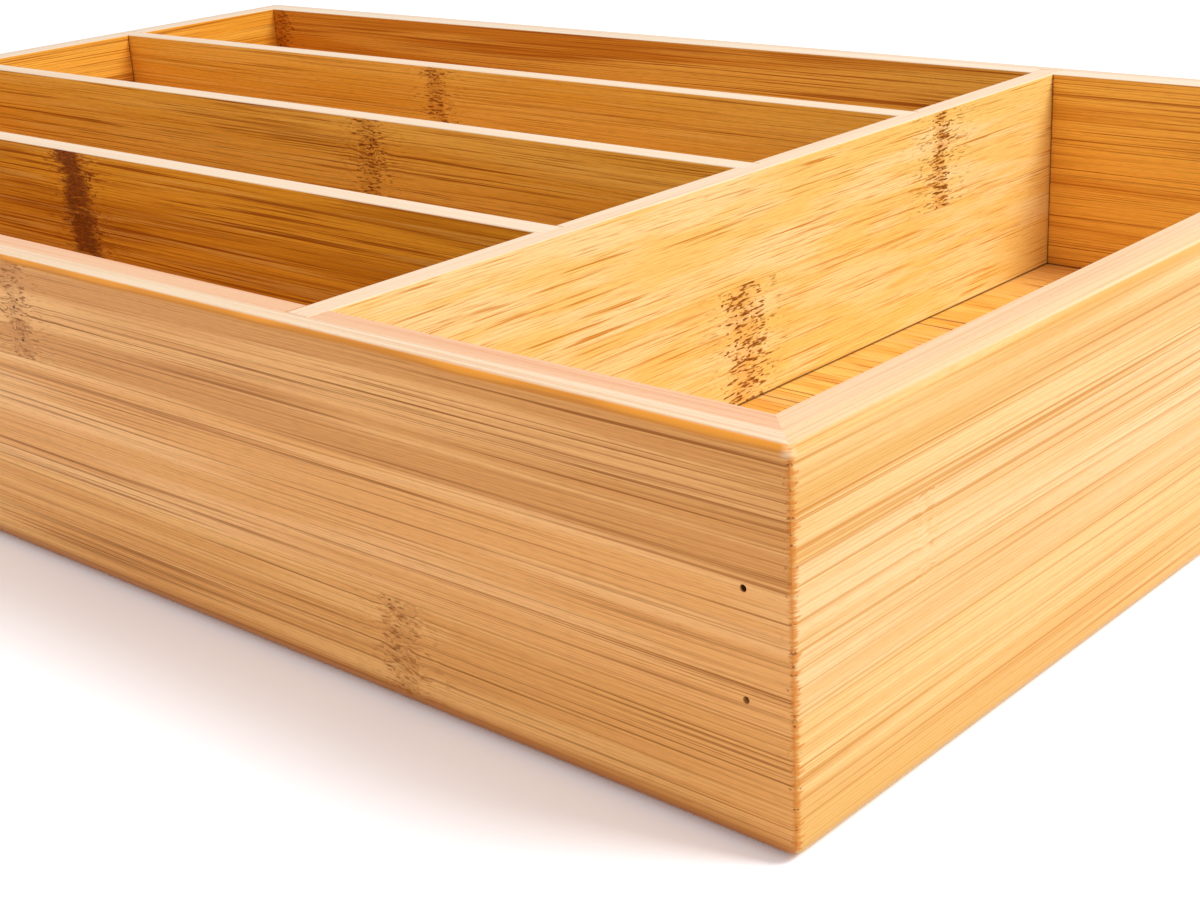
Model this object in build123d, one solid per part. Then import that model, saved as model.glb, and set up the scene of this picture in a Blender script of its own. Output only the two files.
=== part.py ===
from build123d import *
import os

os.makedirs("parts", exist_ok=True)

# A bamboo cutlery tray, in millimetres. X runs along the tray, Y across it, and Z up.
# The origin is on the table, under the middle of the tray.

# Overall size, over the outside faces of the walls and from the table to the rim
tray_length = 395.0
tray_width = 245.0
tray_height = 60.0

# Walls: two plies glued face to face, mitred at the four corners
outer_ply_thickness = 4.5
inner_ply_thickness = 4.5

# Rounds of the outside edges, and the lighter ease of the edges inside
corner_round = 1.0
rim_round = 1.5
foot_round = 3.5
edge_ease = 0.35

# Floor panel, let into a groove that takes this share of the inner plies' thickness
floor_thickness = 5.0
floor_lift = 8.3
groove_depth_share = 0.84
groove_clearance = 0.2
floor_edge_gap = 0.5

# Dividers, housed in slots cut from the rim down to the floor
cross_divider_thickness = 5.4
long_divider_thickness = 5.4
cross_bay_width = 86.8
cross_housing_depth = 2.0
housing_clearance = 0.1
divider_floor_gap = 0.25
long_divider_names = ("front_long_divider", "middle_long_divider", "rear_long_divider")

# Headless pins, two through each end of the front and rear walls into the end walls
pin_diameter = 1.0
pin_length = 16.0
pin_point_length = 1.0
pin_set_depth = 0.8
pin_hole_clearance = 0.05
pin_inset_share = 0.88
pin_height_shares = (0.65, 0.38)

# Every cut runs past the face it starts from by this much
cut_overrun = 2.0

# A round takes up no more than this share of the ply or board that carries it
largest_round_share = 0.8

# Sizes that follow from those above
wall_thickness = outer_ply_thickness + inner_ply_thickness
glue_line_length = tray_length - 2 * outer_ply_thickness
glue_line_width = tray_width - 2 * outer_ply_thickness
inside_length = tray_length - 2 * wall_thickness
inside_width = tray_width - 2 * wall_thickness
floor_top = floor_lift + floor_thickness
groove_depth = inner_ply_thickness * groove_depth_share
cross_right_face = inside_length / 2 - cross_bay_width
cross_left_face = cross_right_face - cross_divider_thickness
long_divider_count = len(long_divider_names)
long_bay_width = (inside_width - long_divider_count * long_divider_thickness) / (long_divider_count + 1)
long_divider_pitch = long_bay_width + long_divider_thickness
long_divider_places = [
    -inside_width / 2 + (number + 1) * long_divider_pitch - long_divider_thickness / 2
    for number in range(long_divider_count)
]


def upright_block(low_x, high_x, low_y, high_y, low_z, high_z):
    """A block between six planes."""
    block = Box(high_x - low_x, high_y - low_y, high_z - low_z, align=(Align.MIN, Align.MIN, Align.MIN))
    return Pos(low_x, low_y, low_z) * block


def centred_block(length, width, low_z, high_z):
    """A block centred on the Z axis between two heights."""
    return upright_block(-length / 2, length / 2, -width / 2, width / 2, low_z, high_z)


def limited_round(radius, board):
    """A round's radius, held within the board that carries it."""
    return min(radius, board * largest_round_share)


def outer_ring():
    """The four outer plies as one ring, with the rounds of the outside edges."""
    block = centred_block(tray_length, tray_width, 0, tray_height)
    block = fillet(block.edges().filter_by(Axis.Z), limited_round(corner_round, outer_ply_thickness))
    rim = block.faces().sort_by(Axis.Z)[-1].edges()
    block = fillet(rim, limited_round(rim_round, outer_ply_thickness))
    foot = block.faces().sort_by(Axis.Z)[0].edges()
    block = fillet(foot, limited_round(foot_round, outer_ply_thickness))
    hollow = centred_block(glue_line_length, glue_line_width, -cut_overrun, tray_height + cut_overrun)
    return block - hollow


def inner_ring():
    """The four inner plies as one ring, with eased inside edges at the rim and the foot."""
    block = centred_block(glue_line_length, glue_line_width, 0, tray_height)
    ring = block - centred_block(inside_length, inside_width, -cut_overrun, tray_height + cut_overrun)
    ease = limited_round(edge_ease, inner_ply_thickness)
    ring = fillet(ring.faces().sort_by(Axis.Z)[-1].inner_wires()[0].edges(), ease)
    return fillet(ring.faces().sort_by(Axis.Z)[0].inner_wires()[0].edges(), ease)


def side_wedge(side):
    """The plan of one side of the tray between two 45 degree mitres, as an upright prism."""
    far_x = tray_length / 2 + cut_overrun
    far_y = tray_width / 2 + cut_overrun
    near_x = inside_length / 2 - cut_overrun
    near_y = inside_width / 2 - cut_overrun
    plans = {
        "front": [(-far_x, -far_y), (far_x, -far_y), (near_x, -near_y), (-near_x, -near_y)],
        "rear": [(far_x, far_y), (-far_x, far_y), (-near_x, near_y), (near_x, near_y)],
        "left": [(-far_x, far_y), (-far_x, -far_y), (-near_x, -near_y), (-near_x, near_y)],
        "right": [(far_x, -far_y), (far_x, far_y), (near_x, near_y), (near_x, -near_y)],
    }
    plan = make_face(Polyline(*plans[side], close=True))
    return Pos(0, 0, -cut_overrun) * extrude(plan, amount=tray_height + 2 * cut_overrun)


def floor_groove():
    """The space that the floor panel's edges take in the inner plies."""
    return centred_block(
        inside_length + 2 * groove_depth,
        inside_width + 2 * groove_depth,
        floor_lift,
        floor_top + groove_clearance,
    )


def cross_housings():
    """The slot across both long walls for the cross divider, through the inner plies."""
    return upright_block(
        cross_left_face - housing_clearance,
        cross_right_face + housing_clearance,
        -glue_line_width / 2,
        glue_line_width / 2,
        floor_top,
        tray_height + cut_overrun,
    )


def long_housing(centre_y, low_x, high_x):
    """One slot for the end of a long divider, between two planes across the tray."""
    half_slot = long_divider_thickness / 2 + housing_clearance
    return upright_block(
        low_x, high_x, centre_y - half_slot, centre_y + half_slot, floor_top, tray_height + cut_overrun
    )


def pin_lines():
    """Where each pin enters the outer face of a long wall, and which way it points.

    The pins lean towards the corner, so that their tips end in the middle of the end wall.
    """
    lines = []
    entry_inset = wall_thickness * pin_inset_share
    for end in (-1, 1):
        for side in (-1, 1):
            lean = end * (entry_inset - wall_thickness / 2)
            way = Vector(lean, -side * (pin_set_depth + pin_length), 0).normalized()
            for share in pin_height_shares:
                place = Vector(end * (tray_length / 2 - entry_inset), side * tray_width / 2, tray_height * share)
                lines.append((place, way))
    return lines


def pin(place, way):
    """One headless pin, set below the wall's face, with a pointed tip."""
    head = Plane(origin=place + way * pin_set_depth, z_dir=way)
    shank_length = pin_length - pin_point_length
    bottom = (Align.CENTER, Align.CENTER, Align.MIN)
    shank = Cylinder(pin_diameter / 2, shank_length, align=bottom)
    point = Cone(pin_diameter / 2, 0, pin_point_length, align=bottom)
    return head * (shank + Pos(0, 0, shank_length) * point)


def pin_hole(place, way):
    """The hole that a pin makes, open at the wall's face."""
    mouth = Plane(origin=place - way * cut_overrun, z_dir=way)
    depth = cut_overrun + pin_set_depth + pin_length + pin_hole_clearance
    bottom = (Align.CENTER, Align.CENTER, Align.MIN)
    return mouth * Cylinder(pin_diameter / 2 + pin_hole_clearance, depth, align=bottom)


def walls():
    """The eight plies of the four walls, by name."""
    holes = [pin_hole(place, way) for place, way in pin_lines()]
    outer = outer_ring() - holes
    left_glue_line = -glue_line_length / 2
    left_inside = -inside_length / 2 + cut_overrun
    left_housings = [long_housing(place, left_glue_line, left_inside) for place in long_divider_places]
    inner = inner_ring() - floor_groove() - cross_housings() - left_housings - holes
    plies = {}
    for side in ("front", "rear", "left", "right"):
        wedge = side_wedge(side)
        plies[side + "_wall_outer_ply"] = outer & wedge
        plies[side + "_wall_inner_ply"] = inner & wedge
    return plies


def eased_top(board, direction, thickness):
    """A board with both long edges of its top eased."""
    top_edges = board.faces().sort_by(Axis.Z)[-1].edges().filter_by(direction)
    return fillet(top_edges, limited_round(edge_ease, thickness / 2))


def cross_divider():
    """The divider across the tray, slotted on its left face for the long dividers."""
    reach = glue_line_width / 2 - housing_clearance
    board = upright_block(
        cross_left_face, cross_right_face, -reach, reach, floor_top + divider_floor_gap, tray_height
    )
    board = eased_top(board, Axis.Y, cross_divider_thickness)
    slot_start = cross_left_face - cut_overrun
    slot_end = cross_left_face + cross_housing_depth
    return board - [long_housing(place, slot_start, slot_end) for place in long_divider_places]


def long_divider(centre_y):
    """One divider along the tray, from the left end wall to the cross divider."""
    low_x = -glue_line_length / 2 + housing_clearance
    high_x = cross_left_face + cross_housing_depth - housing_clearance
    low_y = centre_y - long_divider_thickness / 2
    board = upright_block(
        low_x, high_x, low_y, low_y + long_divider_thickness, floor_top + divider_floor_gap, tray_height
    )
    return eased_top(board, Axis.X, long_divider_thickness)


def floor_panel():
    """The panel that closes the bottom, with its edges in the groove."""
    tongue = groove_depth - floor_edge_gap
    return centred_block(inside_length + 2 * tongue, inside_width + 2 * tongue, floor_lift, floor_top)


pieces = walls()
pieces["cross_divider"] = cross_divider()
for divider_name, divider_place in zip(long_divider_names, long_divider_places):
    pieces[divider_name] = long_divider(divider_place)
pieces["floor_panel"] = floor_panel()
pieces["corner_pins"] = Compound([pin(place, way) for place, way in pin_lines()])

for node_name, piece in pieces.items():
    export_step(piece, f"parts/{node_name}.step")
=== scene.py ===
"""A bamboo cutlery tray: the finish of every board and pin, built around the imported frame."""

from __future__ import annotations

import logging
import math
from dataclasses import dataclass, field
from enum import Enum
from typing import Any, Callable, Dict, Iterable, List, Optional, Sequence, Tuple, Union

import bmesh
import bpy
from mathutils import Matrix, Vector

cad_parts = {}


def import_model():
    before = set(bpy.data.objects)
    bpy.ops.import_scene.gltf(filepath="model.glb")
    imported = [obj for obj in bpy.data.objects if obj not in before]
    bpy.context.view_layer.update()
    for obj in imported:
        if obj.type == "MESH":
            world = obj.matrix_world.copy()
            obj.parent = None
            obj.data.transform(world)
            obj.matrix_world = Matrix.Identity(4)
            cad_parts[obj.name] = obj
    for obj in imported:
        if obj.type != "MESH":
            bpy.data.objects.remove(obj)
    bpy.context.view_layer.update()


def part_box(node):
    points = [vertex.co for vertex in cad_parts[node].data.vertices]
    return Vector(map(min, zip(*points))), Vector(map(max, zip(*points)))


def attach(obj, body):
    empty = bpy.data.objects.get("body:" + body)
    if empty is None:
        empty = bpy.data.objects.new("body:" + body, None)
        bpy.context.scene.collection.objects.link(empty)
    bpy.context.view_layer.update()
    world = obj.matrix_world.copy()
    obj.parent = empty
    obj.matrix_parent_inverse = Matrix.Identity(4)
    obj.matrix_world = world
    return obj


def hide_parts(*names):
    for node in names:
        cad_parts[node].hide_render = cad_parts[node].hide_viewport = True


LOG = logging.getLogger("cutlery_tray")
MM = 0.001
BODY = "root"

Colour = Tuple[float, float, float]
Point = Tuple[float, float, float]
Spot = Tuple[float, float]
Number = Union[float, "Signal"]
Feeds = Dict[Union[int, str], Any]

# The second term that leaves the first one as it is
NEUTRAL = {"ADD": 0.0, "SUBTRACT": 0.0, "MULTIPLY": 1.0, "DIVIDE": 1.0}

# Lengths in metres. Points closer than the reach are one; a length that divides is never zero.
MERGE_REACH = 0.002 * MM
NEVER_ZERO = 1e-6

# The board rule: its unshaped path, and between which shares of the ply a corner's round ends
STATION_STEP = (0.01, 0.0, 0.0)
STATIONS = 41
CORNER_STEPS = 6
CORNER_SPREAD = 0.6
ROUND_ENDS = 0.95
ROUND_EASES = 0.78
SHARP_ANGLE = math.radians(32)

# Facets of the quarter rounds in the boards' profiles
RIM_FACETS = 8
FOOT_FACETS = 12
EASE_FACETS = 5

# The pin rule: its facets, and how far the tip and the head draw in
PIN_FACETS = 16
PIN_RINGS = 40
PIN_TIP_SHARE = 0.04
PIN_HEAD_SHARE = 0.8

ROWS = ("front", "middle", "rear")

# Cuts run past the face that they start from by this many millimetres
OVERRUN = 2.0

# Bamboo: seeds run to ten and move the noise by up to the spread
SEED_RANGE = 10
SEED_SPREAD = 400
DRIFT_LENGTH = 200
FIBRE_ROUGH = 0.55
SLOPE_STEP = 0.2
FULL_SLOPE = 0.16
LACQUER_SHEEN = 0.2
DARKEST = 0.95

# Noise values between which each kind of mark comes in
DEEP_LIMITS = (0.4, 0.6)
GLINT_LIMITS = (0.48, 0.62)
GLINT_GAPS = (0.62, 0.4)
GRIT_LIMITS = (0.45, 0.75)
CROWD_LIMITS = (0.35, 0.65)
MOTTLE_LIMITS = (0.36, 0.56)
FAINT_DASHES = (0.62, 0.69)
FULL_DASHES = (0.69, 0.8)
BAND_BREAKS = (0.35, 0.6)
RIM_LINE_LIMITS = (0.42, 0.68)
RIM_END_LIMITS = (0.5, 0.75)
TEETH_LIMITS = (0.42, 0.7)
CORNER_DOT_LIMITS = (0.62, 0.7)
HIGHLIGHT_TEETH = (0.64, 0.44)

# Heights in millimetres between which a mark comes in
FOOT_SHADE_RISE = (5.0, 1.5)
HIGHLIGHT_RISE = (57.9, 59.0)
HOLE_SHADE_RISE = (6.0, 8.0)
HOLE_SHADE_FALL = (54.0, 52.0)

# Distances in millimetres from a wall's end, its outer face or a glue line, between which it comes in
HIGHLIGHT_REACH = (2.1, 0.5)
CORNER_DOT_REACH = (1.6, 0.8)
HOLE_SHADE_DEPTH = (0.08, 0.35)
HOLE_SHADE_CLEAR = (5.0, 6.0)
JOINT_EDGE = (0.22, 0.06)

# Widths in millimetres over which an edge fades, and how much of a painted joint shade's reach is fully dark
STRIP_FADE = 0.1
JOINT_SHADE_FADE = 0.4
BAND_FADE = 0.4
RIM_FADE = 0.4
JOINT_SHADE_CORE = 0.4

# How far the cut fibre ends reach round a corner at least, and how much further on each kind of wall
LEAST_TEETH = 0.45
END_TEETH = 1.6
LONG_TEETH = 0.5

# The painted shade in the lower pin hole and in the upper one, and the heights between the two
HOLE_SHADE_SHARES = (0.35, 0.9)
HOLE_SHADE_BETWEEN = (28.0, 34.0)

# How much of the streaks' or the corner's colour a scorched mark or a painted shade keeps; past which shade a
# ring is burnt
JOINT_SHADE_CHAR = 0.25
BURNT_CHAR = 0.3
PORE_CHAR = 0.12
BAND_CHAR = 0.75
DOT_CHAR = 0.35
HOLE_SHADE_CHAR = 0.1
BURNS_PAST = 0.7

# How far fine lines and grit stand out, and streaks and pores sink in, as shares of the relief
FINE_RISE = 0.6
GRIT_RISE = 0.3
STREAK_SINK = 0.5
PORE_SINK = 2.0


class Grain(Enum):
    """Which way a board's fibres run: the axes along, across and through it."""

    ALONG_X = ("X", "Z", "Y")
    ALONG_Y = ("Y", "Z", "X")
    FLAT_ALONG_X = ("X", "Y", "Z")


class Side(Enum):
    """The four sides of the tray, with the turn that brings the front one there."""

    FRONT = 0.0
    RIGHT = 0.5 * math.pi
    REAR = math.pi
    LEFT = 1.5 * math.pi

    @property
    def title(self) -> str:
        """The side's name as the frame's nodes spell it."""
        return self.name.lower()

    @property
    def is_end(self) -> bool:
        """Whether this is one of the two short end walls."""
        return self in (Side.LEFT, Side.RIGHT)

    @property
    def grain(self) -> Grain:
        """Which way the fibres of this side's wall run."""
        return Grain.ALONG_Y if self.is_end else Grain.ALONG_X


def tone(red: float, green: float, blue: float) -> Colour:
    """Turns a colour in display values, from 0 to 255, into a scene-linear one, from 0 to 1."""
    parts = [value / 255 for value in (red, green, blue)]
    return tuple(p / 12.92 if p <= 0.04045 else ((p + 0.055) / 1.055) ** 2.4 for p in parts)


def scorched(colour: Colour, share: float) -> Colour:
    """A linear colour darkened to a share of itself, and redder with it, as scorched bamboo is."""
    return tuple(part * share**power for part, power in zip(colour, (1.0, 1.35, 1.6)))


def operator(operation: str, swapped: bool = False) -> Callable[[Signal, Number], Signal]:
    """A method of Signal that takes it and another value through one arithmetic node."""

    def step(signal: Signal, other: Number) -> Signal:
        """Adds the node."""
        return signal.sketch.maths(operation, *((other, signal) if swapped else (signal, other)))

    return step


class Signal:
    """A value that flows through a node tree, so that sums of it can be written plainly."""

    def __init__(self, sketch: NodeSketch, socket: bpy.types.NodeSocket) -> None:
        """Wraps one output socket of the sketch's tree."""
        self.sketch = sketch
        self.socket = socket

    __add__ = operator("ADD")
    __sub__ = operator("SUBTRACT")
    __rsub__ = operator("SUBTRACT", swapped=True)
    __mul__ = operator("MULTIPLY")
    __truediv__ = operator("DIVIDE")
    at_least = operator("MAXIMUM")
    at_most = operator("MINIMUM")

    def size(self) -> Signal:
        """The value without its sign."""
        return self.sketch.maths("ABSOLUTE", self)

    def swing(self, width: Number) -> Signal:
        """A noise from 0 to 1 made to swing about zero, over that width in all."""
        return (self - 0.5) * width

    def within_one(self) -> Signal:
        """The value held between 0 and 1."""
        return self.at_least(0.0).at_most(1.0)

    def ramp(self, low: Number, high: Number, start: float = 0.0, end: float = 1.0) -> Signal:
        """A smooth step from start, at low, to end, at high; low may be the larger of the two."""
        feeds = dict(enumerate((self, low, high, start, end)))
        return self.sketch.signal("ShaderNodeMapRange", feeds, interpolation_type="SMOOTHSTEP")


class NodeSketch:
    """Adds and joins the nodes of one tree, for a finish or for a shape."""

    def __init__(self, tree: bpy.types.NodeTree) -> None:
        """Starts on a tree and clears it."""
        self.tree = tree
        tree.nodes.clear()

    def node(self, kind: str, feeds: Optional[Feeds] = None, **settings: Any) -> bpy.types.Node:
        """Adds a node.

        Args:
            kind: The node's type name.
            feeds: What each of its inputs gets, by the input's name or number.
            **settings: Properties to set on it.

        Returns:
            The new node.
        """
        node = self.tree.nodes.new(kind)
        for name, value in settings.items():
            setattr(node, name, value)
        for socket, value in (feeds or {}).items():
            self.feed(node.inputs[socket], value)
        return node

    def signal(
        self, kind: str, feeds: Optional[Feeds] = None, output: Union[int, str] = 0, **settings: Any
    ) -> Signal:
        """Adds a node, as node() does, and gives the output with that name or number."""
        return self.outputs(kind, (output,), feeds, **settings)[0]

    def outputs(
        self, kind: str, wanted: Iterable[Union[int, str]], feeds: Optional[Feeds] = None, **settings: Any
    ) -> List[Signal]:
        """Adds a node, as node() does, and gives several of its outputs."""
        node = self.node(kind, feeds, **settings)
        return [Signal(self, node.outputs[output]) for output in wanted]

    def feed(self, socket: bpy.types.NodeSocket, value: Any) -> None:
        """Sets an input socket to a plain value or a colour, or links it to a Signal."""
        if isinstance(value, Signal):
            self.tree.links.new(value.socket, socket)
        elif isinstance(value, tuple) and socket.type == "RGBA":
            socket.default_value = (*value, 1.0)
        else:
            socket.default_value = value

    def maths(self, operation: str, *terms: Number) -> Signal:
        """One arithmetic step on one or two terms, left out where it would change nothing."""
        if len(terms) == 2 and isinstance(terms[0], Signal) and terms[1] == NEUTRAL.get(operation):
            return terms[0]
        return self.signal("ShaderNodeMath", dict(enumerate(terms)), operation=operation)

    def vector(self, x: Number, y: Number, z: Number) -> Signal:
        """Joins three values into a vector."""
        return self.signal("ShaderNodeCombineXYZ", {"X": x, "Y": y, "Z": z})

    def split(self, vector: Signal) -> Dict[str, Signal]:
        """Splits a vector into its values by axis letter."""
        return dict(zip("XYZ", self.outputs("ShaderNodeSeparateXYZ", "XYZ", {0: vector})))

    def place(self, scale: float) -> Dict[str, Signal]:
        """The shaded point's own coordinates by axis letter, times a scale."""
        own = self.split(self.signal("ShaderNodeTexCoord", output="Object"))
        return {axis: value * scale for axis, value in own.items()}

    def noise(self, place: Signal, detail: float = 2.0, rough: float = 0.5) -> Signal:
        """Soft noise from 0 to 1, with features one unit wide; detail and rough set its finer layers."""
        feeds = {"Vector": place, "Scale": 1.0, "Detail": detail, "Roughness": rough}
        return self.signal("ShaderNodeTexNoise", feeds, "Fac", noise_dimensions="3D", normalize=True)

    def mix(self, share: Number, first: Any, second: Any, blend: str = "MIX") -> Signal:
        """Mixes a share of the second colour, from 0 to 1, into the first."""
        feeds = {0: share, 6: first, 7: second}
        return self.signal("ShaderNodeMix", feeds, 2, data_type="RGBA", blend_type=blend)

    def steps(self, place: Signal, stops: Sequence[Tuple[float, Colour]]) -> Signal:
        """A colour that changes in sharp steps.

        Args:
            place: A value from 0 to 1.
            stops: Where each colour starts, from low to high.

        Returns:
            The colour at that place.
        """
        node = self.node("ShaderNodeValToRGB", {0: place})
        node.color_ramp.interpolation = "CONSTANT"
        elements = node.color_ramp.elements
        while len(elements) > 1:
            elements.remove(elements[-1])
        for index, (position, colour) in enumerate(stops):
            element = elements[0] if index == 0 else elements.new(position)
            element.position = position
            element.color = (*colour, 1.0)
        return Signal(self, node.outputs[0])

    def finish(self, kind: str, shader: str, feeds: Feeds) -> None:
        """Ends the tree in an output node of that kind, and the shader node that feeds it."""
        self.node(kind, {"Surface": self.signal(shader, feeds)})


def new_material(name: str) -> Tuple[bpy.types.Material, NodeSketch]:
    """An empty material, and the sketch that its nodes are added to."""
    made = bpy.data.materials.new(name)
    made.use_nodes = True
    return made, NodeSketch(made.node_tree)


def new_object(name: str, data: bpy.types.ID) -> bpy.types.Object:
    """An object in the scene that shows a mesh, a lamp or a camera."""
    made = bpy.data.objects.new(name, data)
    bpy.context.scene.collection.objects.link(made)
    return made


PALE_FIBRE = tone(255, 214, 120)
# The warm white of the painted light on the lit side of each fibre ridge
SHINE = (1.0, 0.95, 0.8)


@dataclass(frozen=True)
class Strip:
    """One of the bamboo strips that a board is glued up from."""

    low: float
    light: Colour
    deep: Colour
    streak: float = 0.5
    seed: float = 0.0


@dataclass(frozen=True)
class Knuckle:
    """A growth ring that crosses a strip: tangled fibres, dark pores and a burnt shade."""

    place: float
    low: float
    high: float
    reach: float = 5.0
    shade: float = 0.4
    pores: float = 0.6
    crowd: float = 0.6
    fringe: float = 22.0
    lean: float = 0.0
    curl: float = 1.0


@dataclass(frozen=True)
class Streaks:
    """A board's fibres: how long, how close and how strong each kind of line is, and how strong the painted
    light and shade on their slopes are.
    """

    colour: Colour
    along: float = 0.003
    across: float = 0.8
    thick: float = 0.5
    thin: float = 0.4
    relief: float = 0.5
    low: float = 0.54
    soft: float = 0.12
    wander: float = 0.4
    glint: float = 0.0
    ember: float = 0.9


@dataclass(frozen=True)
class Rim:
    """The pale sanded top edge of a board, from its outer face inwards."""

    outer: Colour
    inner: Colour
    split: float = 4.3
    start: float = 59.55
    fade: float = 0.12
    band: Optional[Colour] = None
    band_start: float = 59.05


@dataclass(frozen=True)
class Stain:
    """A thin line of painted shade on a board, in the joint where another board meets it."""

    axis: str
    place: float
    reach: float = 0.4
    strength: float = 0.7
    above: float = 0.0


@dataclass(frozen=True)
class Pattern:
    """A noise over a board: its steps per millimetre along, across and through the fibres."""

    along: float
    across: float
    through: float
    start: float = 0.0
    detail: float = 1.0
    rough: float = 0.5

    def read(self, sketch: NodeSketch, along: Signal, across: Signal, through: Signal) -> Signal:
        """The noise from 0 to 1 at a place in millimetres."""
        spot = sketch.vector(along * self.along, across * self.across, through * self.through + self.start)
        return sketch.noise(spot, self.detail, self.rough)


RAGGED = Pattern(0.16, 1.3, 0.5, detail=2.0, rough=0.6)
SWAY = Pattern(0.02, 0.16, 0.1)
SWIRL = Pattern(0.22, 0.3, 0.3, detail=2.0)
CURL = Pattern(0.5, 0.6, 0.5, start=40.0)
THREADS = Pattern(0.05, 1.8, 0.5, start=20.0)
DASHES = Pattern(0.42, 2.1, 0.8, start=60.0)
WANDER = Pattern(0.01, 0.05, 1.0)
RIM_SWAY = Pattern(0.03, 0.0, 0.1, detail=2.0)
RIM_LINES = Pattern(0.01, 1.6, 0.5, detail=3.0, rough=0.6)
RIM_ENDS = Pattern(0.6, 2.4, 0.5, detail=2.0)
CORNER_TEETH = Pattern(1.3, 0.1, 0.01, detail=3.0, rough=0.75)
CORNER_DOTS = Pattern(1.5, 1.2, 0.01, start=9.0, detail=2.0)
DRAWN_WIRE = Pattern(9.0, 0.4, 9.0, detail=2.0)


@dataclass(frozen=True)
class Tangle:
    """What the knuckles do to a board, as signals over its face."""

    bend: Signal
    scatter: Signal
    shade: Signal
    pores: Signal


@dataclass(frozen=True)
class Fibres:
    """A board's fibre lines, as signals over its face."""

    broad: Signal
    under: Signal
    fine: Signal
    slope: Signal
    grit: Signal
    thick: Signal
    thin: Signal


@dataclass(frozen=True)
class Face:
    """Where a finish is worked out: its tree, and the place on the board in millimetres."""

    sketch: NodeSketch
    place: Dict[str, Signal]
    along: Signal
    across: Signal
    through: Signal
    half_length: float
    half_width: float

    def noise(self, pattern: Pattern) -> Signal:
        """A pattern's value at this place."""
        return pattern.read(self.sketch, self.along, self.across, self.through)

    def behind_end(self) -> Signal:
        """How far the place lies behind the outer face of the nearer end wall."""
        return self.half_length - self.place["X"].size()

    def behind_long_side(self) -> Signal:
        """How far the place lies behind the outer face of the nearer long wall."""
        return self.half_width - self.place["Y"].size()


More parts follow.
